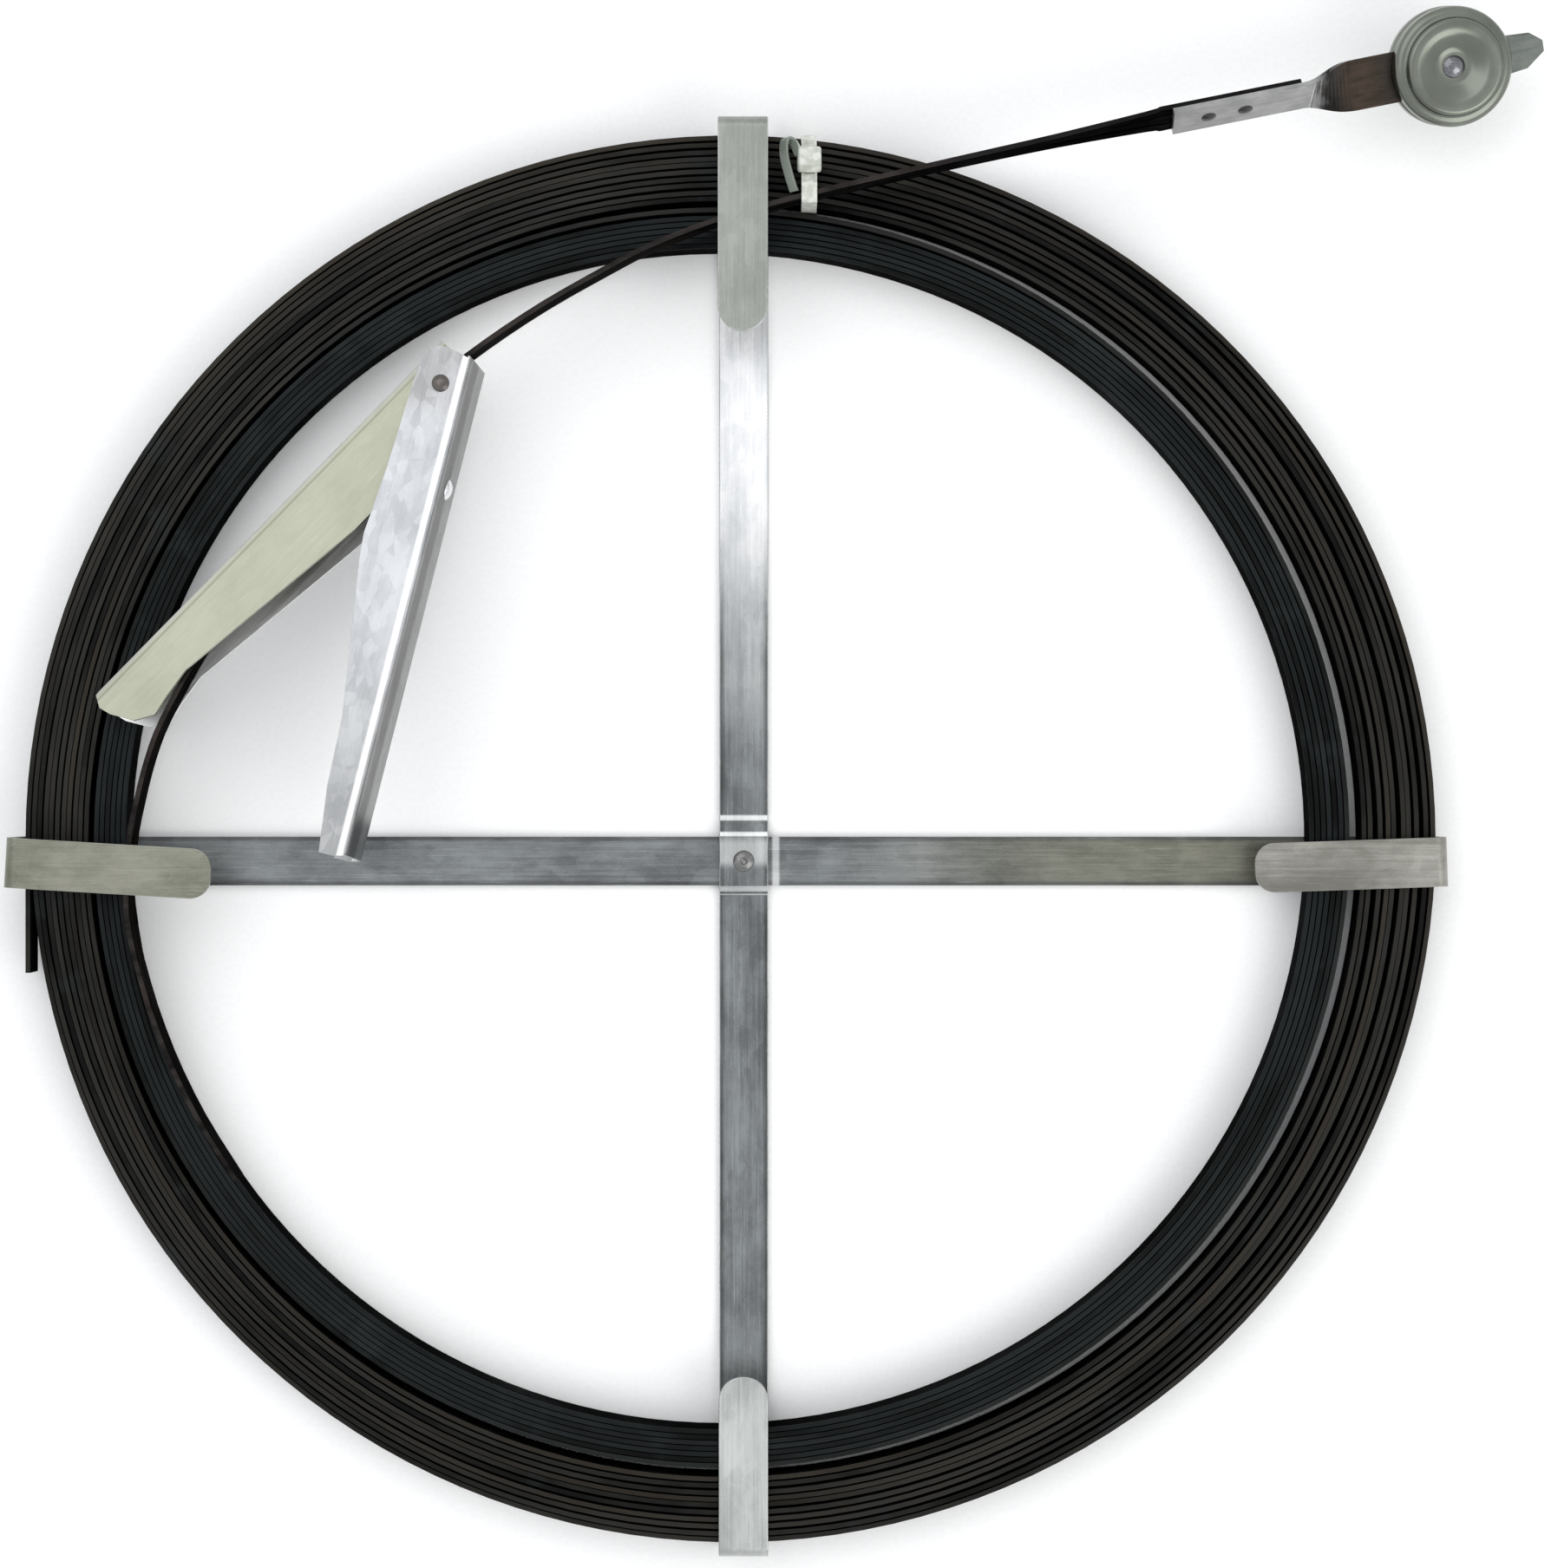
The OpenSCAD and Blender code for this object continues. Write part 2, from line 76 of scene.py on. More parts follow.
class Paint:
    """A principled material, and short ways to add the nodes that feed it."""

    def __init__(self, name, metallic=1.0):
        self.material = bpy.data.materials.new(name)
        self.material.use_nodes = True
        self.tree = self.material.node_tree
        self.shader = self.tree.nodes["Principled BSDF"]
        self.set(Metallic=metallic)

    def feed(self, socket, value):
        """Links value to the socket, or sets it where value is plain."""
        if isinstance(value, bpy.types.NodeSocket):
            self.tree.links.new(value, socket)
        else:
            socket.default_value = value

    def add(self, kind, inputs=(), **settings):
        """A node of this kind. inputs is {socket name or index: value or socket}."""
        node = self.tree.nodes.new("ShaderNode" + kind)
        for key, value in settings.items():
            setattr(node, key, value)
        for key, value in dict(inputs).items():
            self.feed(node.inputs[key], value)
        return node

    def set(self, **sockets):
        """Sets the shader's sockets. An underscore in a name stands for a space."""
        for key, value in sockets.items():
            self.feed(self.shader.inputs[key.replace("_", " ")], value)

    def place(self, size, lie=0.0, source="Object"):
        """Coordinates in which one unit is size metres. lie turns x by degrees, or is a whole matrix."""
        if not isinstance(lie, Matrix):
            lie = Matrix.Rotation(math.radians(lie), 4, "Z")
        return self.add(
            "Mapping",
            {
                "Vector": self.add("TexCoord").outputs[source],
                "Location": lie.translation,
                "Rotation": lie.to_euler(),
                "Scale": size,
            },
            vector_type="TEXTURE",
        ).outputs[0]

    def noise(self, vector, detail=4.0, roughness=0.55):
        return self.add(
            "TexNoise",
            {"Vector": vector, "Scale": 1.0, "Detail": detail, "Roughness": roughness},
        ).outputs["Fac"]

    def calc(self, operation, a, b=0.0, c=0.0):
        return self.add("Math", {0: a, 1: b, 2: c}, operation=operation).outputs[0]

    def span(self, value, low, high, to_low=0.0, to_high=1.0):
        """value from low..high to to_low..to_high, smoothly and clamped."""
        return self.add(
            "MapRange",
            {
                "Value": value,
                "From Min": low,
                "From Max": high,
                "To Min": to_low,
                "To Max": to_high,
            },
            interpolation_type="SMOOTHSTEP",
        ).outputs["Result"]

    def axis(self, vector, which):
        return self.add("SeparateXYZ", {0: vector}).outputs[which]

    def mix(self, factor, a, b):
        """Colour a going to colour b as factor goes to 1."""
        node = self.add("Mix", data_type="RGBA", blend_type="MIX")
        self.feed(node.inputs[0], factor)
        for socket, value in ((node.inputs[6], a), (node.inputs[7], b)):
            self.feed(socket, (*value, 1.0) if isinstance(value, tuple) else value)
        return node.outputs[2]

    def bump(self, height, strength, distance, under=None):
        inputs = {"Height": height, "Strength": strength, "Distance": distance}
        if under is not None:
            inputs["Normal"] = under
        return self.add("Bump", inputs).outputs[0]


def weighted(paint, parts):
    """The sum of (weight, value) parts."""
    total = 0.0
    for weight, value in parts:
        total = paint.calc("MULTIPLY_ADD", value, weight, total)
    return total


def zinc_metal(name, dark, light, lie, rough, spangle=0.0, zones=()):
    """Zinc-coated steel: cloudy tone, lengthwise rolled grain, fine scratches and a faint spangle.

    lie: the way the grain runs, as for Paint.place. rough: the lowest and the highest roughness.
    zones: (share, dark, light) for each stretch with a tone of its own; share(p) gives where it is.
    """
    p = Paint(name)
    cloud = p.noise(p.place((35 * MM, 18 * MM, 18 * MM), lie), 5.0, 0.6)
    streak = p.noise(p.place((45 * MM, 0.9 * MM, 0.9 * MM), lie), 5.0, 0.6)
    hair = p.noise(p.place((14 * MM, 0.16 * MM, 0.16 * MM), lie), 2.0)
    speck = p.noise(p.place((0.7 * MM, 0.7 * MM, 0.7 * MM)), 3.0, 0.7)
    flakes = p.add(
        "TexVoronoi",
        {"Vector": p.place((5 * MM, 3.2 * MM, 4 * MM), lie), "Scale": 1.0, "Randomness": 1.0},
    )
    flake = p.axis(flakes.outputs["Color"], 0)
    body = weighted(p, [(0.54, cloud), (0.22, streak), (0.12, hair), (0.12, speck)])
    body = p.calc("MULTIPLY_ADD", p.calc("SUBTRACT", flake, 0.5), spangle, body)
    tone = p.span(body, 0.36, 0.66)
    colour = p.mix(tone, dark, light)
    for share, zone_dark, zone_light in zones:
        colour = p.mix(share(p), colour, p.mix(tone, zone_dark, zone_light))
    scratches = p.span(hair, 0.64, 0.72)
    colour = p.mix(p.calc("MULTIPLY", scratches, 0.175), colour, (0.86, 0.87, 0.86))
    spots = p.span(speck, 0.66, 0.78)
    colour = p.mix(p.calc("MULTIPLY", spots, 0.35), colour, tuple(0.55 * c for c in dark))
    rough_mix = weighted(p, [(0.5, streak), (0.3, cloud), (0.2, speck)])
    normal = p.bump(streak, 0.12, 0.05 * MM)
    normal = p.bump(hair, 0.11, 0.02 * MM, normal)
    p.set(
        Base_Color=colour,
        Roughness=p.span(rough_mix, 0.35, 0.65, *rough),
        Normal=normal,
    )
    p.set(Anisotropic=0.35)
    return p.material


def spring_steel(name, blue, brown, by_turn=True, graze=1.0):
    """Oil-tempered tape: blue-black, with brown streaks, rubbed specks and a soft oily sheen.

    by_turn: the mesh has a UV map of metres along the tape and turns from the inside.
    graze: how strongly the surface reflects at a glancing angle; low values, used on the flat faces, are
    painted shade that keeps them dark.
    """
    p = Paint(name)
    if by_turn:
        turn = p.axis(p.place((1, 1, 1), source="UV"), 1)
        outer = p.span(turn, 5.6, 7.4)
        streak = p.noise(p.place((0.13, 0.22, 1), source="UV"), 5.0, 0.6)
        patch = p.noise(p.place((0.45, 0.9, 1), source="UV"), 3.0)
    else:
        outer = p.span(p.axis(p.place((MM, MM, MM)), 0), 45, 80, 1.0, 0.0)
        streak = p.noise(p.place((30 * MM, 12 * MM, 1.1 * MM)), 5.0, 0.6)
        patch = p.noise(p.place((60 * MM, 60 * MM, 8 * MM)), 3.0)
    oil = p.noise(p.place((22 * MM, 22 * MM, 22 * MM)), 4.0, 0.6)
    dust = p.noise(p.place((0.55 * MM, 0.55 * MM, 1.4 * MM)), 3.0, 0.7)
    base = p.mix(outer, blue, brown)
    dark = tuple(0.15 * (a + b) for a, b in zip(blue, brown))
    colour = p.mix(p.span(streak, 0.34, 0.60), dark, base)
    tint = p.calc("MULTIPLY", p.span(patch, 0.50, 0.66), p.calc("MULTIPLY_ADD", outer, 0.65, 0.05))
    colour = p.mix(tint, colour, tuple(c * k for c, k in zip(brown, (1.35, 1.2, 1.1))))
    colour = p.mix(p.span(oil, 0.55, 0.75, 0.0, 0.5), colour, tuple(1.7 * c for c in blue))
    colour = p.mix(p.span(dust, 0.68, 0.80, 0.0, 0.55), colour, (0.16, 0.16, 0.155))
    rough = weighted(p, [(0.5, streak), (0.5, oil)])
    p.set(
        Base_Color=colour,
        Roughness=p.span(rough, 0.36, 0.62, 0.34, 0.58),
        Normal=p.bump(dust, 0.2, 0.03 * MM, p.bump(streak, 0.15, 0.06 * MM)),
    )
    p.set(Specular_Tint=(graze, graze, graze, 1.0))
    return p.material


def nylon(name):
    """Natural nylon, cloudy inside, with moulded teeth across the band."""
    p = Paint(name, metallic=0.0)
    cloud = p.noise(p.place((3 * MM, 3 * MM, 3 * MM)), 4.0)
    skin = p.noise(p.place((0.25 * MM, 0.25 * MM, 0.25 * MM)), 2.0)
    teeth = p.calc("PINGPONG", p.axis(p.place((1.1 * MM, 1.1 * MM, 1.1 * MM)), 1), 0.5)
    colour = p.mix(p.span(cloud, 0.35, 0.65), (0.50, 0.52, 0.46), (0.72, 0.73, 0.68))
    thin = p.span(p.axis(p.place((MM, MM, MM)), 0), 18.6, 17.2)
    colour = p.mix(thin, colour, (0.22, 0.25, 0.215))
    p.set(
        Base_Color=colour,
        Roughness=p.span(skin, 0.3, 0.7, 0.28, 0.44),
        Normal=p.bump(skin, 0.25, 0.03 * MM, p.bump(teeth, 0.35, 0.12 * MM)),
    )
    p.set(Subsurface_Weight=0.35, Subsurface_Radius=(1.2 * MM, 1.2 * MM, 1.0 * MM), IOR=1.53)
    return p.material


def turned_zinc(name, dark, light, lie):
    """Pressed zinc cup, polished on a lathe: rings about the z axis of the frame lie."""
    p = Paint(name)
    local = p.place((1, 1, 1), lie)
    x, y = p.axis(local, 0), p.axis(local, 1)
    radius = p.calc("SQRT", p.calc("MULTIPLY_ADD", x, x, p.calc("MULTIPLY", y, y)))
    rings = p.add("CombineXYZ", {0: p.calc("DIVIDE", radius, 0.22 * MM)}).outputs[0]
    ring = p.noise(rings, 3.0, 0.65)
    cloud = p.noise(p.place((16 * MM, 16 * MM, 16 * MM)), 2.0)
    speck = p.noise(p.place((0.5 * MM, 0.5 * MM, 0.5 * MM)), 3.0, 0.7)
    tone = weighted(p, [(0.35, ring), (0.55, cloud), (0.10, speck)])
    colour = p.mix(p.span(tone, 0.25, 0.75), dark, light)
    colour = p.mix(p.span(speck, 0.70, 0.82, 0.0, 0.3), colour, tuple(0.45 * c for c in dark))
    p.set(
        Base_Color=colour,
        Roughness=p.span(tone, 0.3, 0.7, 0.20, 0.30),
        Normal=p.bump(ring, 0.25, 0.02 * MM),
        Tangent=p.add("Tangent", direction_type="RADIAL", axis="Z").outputs[0],
    )
    p.set(Anisotropic=0.55)
    return p.material


def tongue_bands(name, start, direction):
    """The tongue: grey at the rivets, then along the twist dark, brown, dark again and a grey-green tip.
    """
    p = Paint(name)
    lie = Matrix.Translation(start) @ Matrix.Rotation(math.radians(direction), 4, "Z")
    ragged = p.noise(p.place((9 * MM, 9 * MM, 9 * MM)), 4.0)
    from_start = p.axis(p.place((1, 1, 1), lie), 0)
    run = p.calc("MULTIPLY_ADD", p.calc("SUBTRACT", ragged, 0.5), 14 * MM, from_start)
    grain = p.noise(p.place((9 * MM, 1.5 * MM, 1.5 * MM), direction), 5.0, 0.6)
    speck = p.noise(p.place((0.6 * MM, 0.6 * MM, 0.6 * MM)), 3.0, 0.7)
    tone = p.span(weighted(p, [(0.5, grain), (0.5, ragged)]), 0.30, 0.70)
    steel = p.mix(tone, (0.24, 0.24, 0.24), (0.42, 0.42, 0.41))
    brown = p.mix(tone, (0.036, 0.030, 0.023), (0.078, 0.057, 0.046))
    dark = p.mix(tone, (0.026, 0.025, 0.024), (0.050, 0.046, 0.043))
    tip = p.mix(tone, (0.11, 0.125, 0.11), (0.20, 0.215, 0.20))
    colour = p.mix(p.span(run, 45 * MM, 51 * MM), steel, dark)
    colour = p.mix(p.span(run, 51 * MM, 58 * MM), colour, brown)
    colour = p.mix(p.span(run, 64 * MM, 70 * MM, 0.0, 0.6), colour, dark)
    colour = p.mix(p.span(run, 74 * MM, 86 * MM), colour, tip)
    colour = p.mix(p.span(speck, 0.66, 0.8, 0.0, 0.4), colour, (0.03, 0.03, 0.03))
    p.set(
        Base_Color=colour,
        Roughness=p.span(grain, 0.35, 0.65, 0.30, 0.48),
        Normal=p.bump(grain, 0.2, 0.05 * MM),
    )
    return p.material


# ---------------------------------------------------------------- meshes

FOLD_R = 1.3 * MM
SAME_POINT = 0.002 * MM  # vertices of a CAD mesh that are nearer than this are one
FLAT_ANGLE = 0.4  # degrees between two facets of one flat face
EDGE_ANGLE = 32.0  # degrees from which an edge is rounded
UPRIGHT = 0.6  # a face with less than this of its normal along z is a side face


def finish_mesh(name, bm, materials, sharp=35.0):
    """An object from a bmesh, smooth apart from its sharp edges."""
    mesh = bpy.data.meshes.new(name)
    bmesh.ops.recalc_face_normals(bm, faces=bm.faces)
    bm.to_mesh(mesh)
    bm.free()
    mesh.shade_smooth()
    mesh.set_sharp_from_angle(angle=math.radians(sharp))
    piece = bpy.data.objects.new(name, mesh)
    bpy.context.scene.collection.objects.link(piece)
    for material in materials:
        mesh.materials.append(material)
    weighted_normal = piece.modifiers.new("normals", "WEIGHTED_NORMAL")
    weighted_normal.keep_sharp = True
    return piece


def fold_lines(bm, lie, web_side):
    """The two edges along which a folded sheet's side walls meet the outside of its web."""
    tolerance, shortest = 0.05 * MM, 20 * MM
    local = {v: lie.inverted() @ v.co for v in bm.verts}
    half = max(p.z for p in local.values())
    web = max(p.y * web_side for p in local.values())

    def on_line(v):
        at_web = abs(local[v].y * web_side - web) < tolerance
        return at_web and abs(abs(local[v].z) - half) < tolerance

    return [e for e in bm.edges if all(map(on_line, e.verts)) and e.calc_length() > shortest]


def round_edges(bm, edges, radius, steps, material):
    bmesh.ops.bevel(
        bm,
        geom=edges,
        offset=radius,
        offset_type="OFFSET",
        segments=steps,
        profile=0.5,
        affect="EDGES",
        clamp_overlap=True,
        material=material,
    )


def refined(node, name, materials, edge_r, fold=None, sides=False):
    """A copy of a CAD node with its flat faces joined and its edges rounded.

    The second material, where there is one, goes on the rounded edges, or on upright faces if sides
    is true. fold is (lie, web_side) for a folded sheet, whose bends get a larger radius.
    """
    bm = bmesh.new()
    bm.from_mesh(nodes[node].data)
    bmesh.ops.remove_doubles(bm, verts=bm.verts, dist=SAME_POINT)
    bmesh.ops.dissolve_limit(
        bm, angle_limit=math.radians(FLAT_ANGLE), verts=bm.verts, edges=bm.edges
    )
    for face in bm.faces:
        face.material_index = 0
    if fold:
        round_edges(bm, fold_lines(bm, *fold), FOLD_R, 6, 0)
    corner = math.radians(EDGE_ANGLE)
    edges = [e for e in bm.edges if len(e.link_faces) == 2 and e.calc_face_angle(0) > corner]
    round_edges(bm, edges, edge_r, 3, 1 if len(materials) > 1 and not sides else -1)
    if sides:
        bm.normal_update()
        for face in bm.faces:
            face.material_index = 1 if abs(face.normal.z) < UPRIGHT else 0
    piece = finish_mesh(name, bm, materials)
    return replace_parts(piece, node)


def rounded(points, radii, steps):
    """The closed outline with each corner turned into an arc of up to its radius."""
    out = []
    for i, (corner, radius) in enumerate(zip(points, radii)):
        before, after = points[i - 1], points[(i + 1) % len(points)]
        c = Vector(corner)
        a, b = Vector(before) - c, Vector(after) - c
        cut = min(radius, 0.45 * a.length, 0.45 * b.length)
        start, end = c + a.normalized() * cut, c + b.normalized() * cut
        for j in range(steps + 1):
            t = j / steps
            out.append((1 - t) ** 2 * start + 2 * t * (1 - t) * c + t * t * end)
    return out


def rounded_box(width, height, radius):
    """Rounded outline of a strip's section, about its middle."""
    w, h = width / 2, height / 2
    return rounded([(-w, -h), (w, -h), (w, h), (-w, h)], [radius] * 4, 3)


def lathe(name, profile, materials):
    """A closed profile of (radius, z), turned about z."""
    around = 160
    bm = bmesh.new()
    rings = [
        [
            bm.verts.new((r * math.cos(a), r * math.sin(a), z))
            for a in (2 * math.pi * i / around for i in range(around))
        ]
        for r, z in profile
    ]
    for i, ring in enumerate(rings):
        after = rings[(i + 1) % len(rings)]
        for j in range(around):
            k = (j + 1) % around
            bm.faces.new((ring[j], ring[k], after[k], after[j]))
    return finish_mesh(name, bm, materials)


# ---------------------------------------------------------------- winding of the tape

COIL_X, COIL_Y = -5 * MM, 7 * MM
TURNS = 17
INNER_TURNS = 6  # turns of the tight inner pack
TAPE_T = 1.6 * MM
EDGE_R = 0.22 * MM
LIFT_ANGLE = 215  # where the tape lifts out of the coil
TAIL_LEN = 43 * MM
STEPS_PER_TURN = 150
TAIL_STEPS = 10
SLACK = 0.3 * MM  # how far a loose turn wanders up or down
coil_low, coil_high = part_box("tape_coil")


class Side:
    """One side of the coil: where its layers cross the x axis through the coil's centre."""

    def __init__(self, first, last, tight, split, count):
        self.first, self.tight = first, tight
        self.loose_start = first + INNER_TURNS * tight + split
        self.pitch = (last - self.loose_start) / (count - INNER_TURNS)

    def layer(self, k):
        """Distance of layer k from the centre: a tight pack, a gap, and a looser pack."""
        if k <= INNER_TURNS:
            return self.first + k * self.tight
        return self.loose_start + (k - INNER_TURNS) * self.pitch


LEFT = Side(194.5 * MM, COIL_X - coil_low.x - TAPE_T / 2, 1.75 * MM, 1.4 * MM, TURNS)
RIGHT = Side(189.5 * MM, coil_high.x - COIL_X - TAPE_T / 2, 1.9 * MM, 3 * MM, TURNS - 1)


def side_distance(half_turn):
    """Distance of the tape from the centre where it crosses the left or the right side."""
    k = half_turn // 2
    return LEFT.layer(k) if half_turn % 2 else RIGHT.layer(k - 1)


def winding(angle):
    """Point of the tape's middle line and its outward direction, at an angle in degrees."""
    half = min(int(angle // 180), 2 * TURNS)
    ends = side_distance(half), side_distance(half + 1)
    left, right = ends if half % 2 else ends[::-1]
    a = math.radians(angle)
    out = Vector((math.cos(a), math.sin(a), 0))
    return Vector((COIL_X + (right - left) / 2, COIL_Y, 0)) + out * (left + right) / 2, out


def waver(angle, seed):
    """A slow wave from -1 to 1 along the tape, different for each seed."""
    a = math.radians(angle)
    waves = ((0.37, 1.0), (0.83, 0.7), (1.61, 0.45), (2.9, 0.3))
    total = sum(w * math.sin(f * a + 2.4 * seed + 5.1 * f * seed) for f, w in waves)
    return total / sum(w for _, w in waves)


def bunching(angle):
    """How far a turn of the loose outer pack lies off its even place, towards its neighbours."""
    turn = (angle - 180) / 360
    if not INNER_TURNS + 1 < turn < TURNS - 1:
        return 0.0
    fade = min(1.0, turn - INNER_TURNS - 1, TURNS - 1 - turn)
    to_right = (1 + math.cos(math.radians(angle))) / 2
    pitch = LEFT.pitch + (RIGHT.pitch - LEFT.pitch) * to_right
    clearance = 0.04 * MM
    room = (pitch - TAPE_T - clearance) / 2
    return fade * room * max(-1.0, min(1.0, 2.2 * waver(angle, 2)))


def stations_of_coil():
    """(point, outward direction, rise, turn) along the tape, from where it lifts out to its tail."""
    end_angle = 180 + 360 * TURNS
    count = int((end_angle - LIFT_ANGLE) / 360 * STEPS_PER_TURN)
    stations = []
    for i in range(count + 1):
        angle = LIFT_ANGLE + (end_angle - LIFT_ANGLE) * i / count
        point, out = winding(angle)
        turn = (angle - 180) / 360
        loose = min(1.0, max(0.15, (turn - 5) / 3))
        rise = SLACK * loose * waver(angle, 1) if angle > LIFT_ANGLE + 60 else 0.0
        stations.append((point + out * bunching(angle), out, rise, turn))
    last, out, _, turn = stations[-1]
    for i in range(1, TAIL_STEPS + 1):
        down = Vector((0, -TAIL_LEN * i / TAIL_STEPS, 0))
        stations.append((last + down, out, 0.0, turn))
    return stations


def coil_piece(materials):
    """The wound tape as one ribbon. The second material goes on its wide upright faces."""
    height = coil_high.z - coil_low.z - 2 * SLACK
    middle = (coil_low.z + coil_high.z) / 2
    section = rounded_box(TAPE_T, height, EDGE_R)
    stations = stations_of_coil()
    bm = bmesh.new()
    uv = bm.loops.layers.uv.new("UVMap")
    rings, lengths = [], []
    run = 0.0
    for i, (point, out, rise, _) in enumerate(stations):
        if i:
            run += (point - stations[i - 1][0]).length
        lengths.append(run)
        base = point + Vector((0, 0, middle + rise))
        rings.append([bm.verts.new(base + out * n + Vector((0, 0, z))) for n, z in section])
    size = len(section)
    for i in range(len(rings) - 1):
        for j in range(size):
            k = (j + 1) % size
            face = bm.faces.new((rings[i][j], rings[i + 1][j], rings[i + 1][k], rings[i][k]))
            face.material_index = 1 if abs(section[j][1] - section[k][1]) > height / 2 else 0
            for loop, ring in zip(face.loops, (i, i + 1, i + 1, i)):
                loop[uv].uv = (lengths[ring], stations[ring][3])
    bm.faces.new(rings[0])
    bm.faces.new(rings[-1][::-1])
    piece = finish_mesh("coil_ribbon", bm, materials)
    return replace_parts(piece, "tape_coil")


# ---------------------------------------------------------------- cable tie

TIE_W, TIE_T = 5 * MM, 1.1 * MM
TIE_HEAD = (7.8 * MM, 9.2 * MM, 4.2 * MM)
TIE_TAIL_W, TIE_TAIL_T = 3.4 * MM, 0.9 * MM


def swept_band(bm, points, width_dir, width, thick, closed):
    """A rounded band along points, wide along width_dir and thick across it."""
    section = rounded_box(width, thick, 0.3 * MM)
    rings = []
    for point, normal in zip(points, normals_of(points, closed, width_dir)):
        rings.append([bm.verts.new(point + width_dir * a + normal * b) for a, b in section])
    size = len(section)
    for i in range(len(rings) - (0 if closed else 1)):
        after = rings[(i + 1) % len(rings)]
        for j in range(size):
            k = (j + 1) % size
            bm.faces.new((rings[i][j], rings[i][k], after[k], after[j]))
    if not closed:
        bm.faces.new(rings[0])
        bm.faces.new(rings[-1][::-1])


def normals_of(points, closed, across):
    """The direction square to the path and to across, at each point."""
    out = []
    for i, _ in enumerate(points):
        if closed:
            run = points[(i + 1) % len(points)] - points[i - 1]
        else:
            run = points[min(i + 1, len(points) - 1)] - points[max(i - 1, 0)]
        out.append(run.cross(across).normalized())
    return out


def curve_through(keys, steps):
    """A smooth curve through the keys."""
    out = []
    for i in range(len(keys) - 1):
        a, b = keys[max(0, i - 1)], keys[i]
        c, d = keys[i + 1], keys[min(len(keys) - 1, i + 2)]
        linear, square, cube = c - a, 2 * a - 5 * b + 4 * c - d, 3 * b - a - 3 * c + d
        for j in range(steps):
            t = j / steps
            out.append(b + (t * linear + t * t * square + t**3 * cube) / 2)
    return out + [keys[-1]]


def tie_piece(materials):
    """Band round the outer pack, ratchet head on its sloping front, and the tail beside it."""
    low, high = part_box("cable_tie")
    middle = (low.x + high.x) / 2
    half_t = TIE_T / 2
    back, out = low.y + half_t, high.y - half_t
    bottom, top = low.z + half_t, high.z - half_t
    shoulder = coil_high.z + 0.8 * MM
    crest = back + 4.2 * MM
    outline = [(back, bottom), (out, bottom), (out, shoulder), (crest, top), (back, top)]
    radii = [1.5 * MM, 1.5 * MM, 3 * MM, 3 * MM, 1.8 * MM]
    across = Vector((1, 0, 0))
    loop = [Vector((middle, y, z)) for y, z in rounded(outline, radii, 6)]
    bm = bmesh.new()
    swept_band(bm, loop, across, TIE_W, TIE_T, True)

    slope = Vector((0, out - crest, shoulder - top)).normalized()
    up = across.cross(slope).normalized()
    seat = Vector((middle, (crest + out) / 2 - 1.5 * MM, (top + shoulder) / 2 + 1.6 * MM))
    lie = Matrix((across, slope, up)).transposed().to_4x4()
    lie.translation = seat + up * 2.2 * MM
    head = bmesh.ops.create_cube(bm, size=1, matrix=lie @ Matrix.Diagonal((*TIE_HEAD, 1)))
    round_edges(bm, list({e for v in head["verts"] for e in v.link_edges}), 0.9 * MM, 4, -1)
    bm.normal_update()
    front = max(bm.faces, key=lambda f: f.normal.dot(up) * f.calc_area())
    bmesh.ops.inset_region(bm, faces=[front], thickness=1.3 * MM, depth=0)
    bmesh.ops.translate(bm, verts=front.verts, vec=-0.9 * MM * up)

    start = seat + Vector((-3.2, 3.0, 0.6)) * MM
    keys = [
        start,
        start + Vector((-2.0, 4.6, -1.8)) * MM,
        start + Vector((-4.4, 5.4, -1.6)) * MM,
        start + Vector((-4.9, 0.5, 0.6)) * MM,
        start + Vector((-3.4, -6.5, 2.6)) * MM,
        start + Vector((-1.6, -12.3, 3.6)) * MM,
    ]
    tilted = Vector((0.72, 0.1, 0.68)).normalized()
    swept_band(bm, curve_through(keys, 8), tilted, TIE_TAIL_W, TIE_TAIL_T, False)
    piece = finish_mesh("tie_band", bm, materials, 40)
    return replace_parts(piece, "cable_tie")


# ---------------------------------------------------------------- roller

ROLLER_R = 19 * MM
ROLLER_HALF = 10 * MM
SLEEVE_R = 4 * MM
SLEEVE_HALF = 1.6 * MM
DISH_R = 7 * MM
CUP_T = 1.4 * MM
ROLLER_RIVET_R = 2.5 * MM


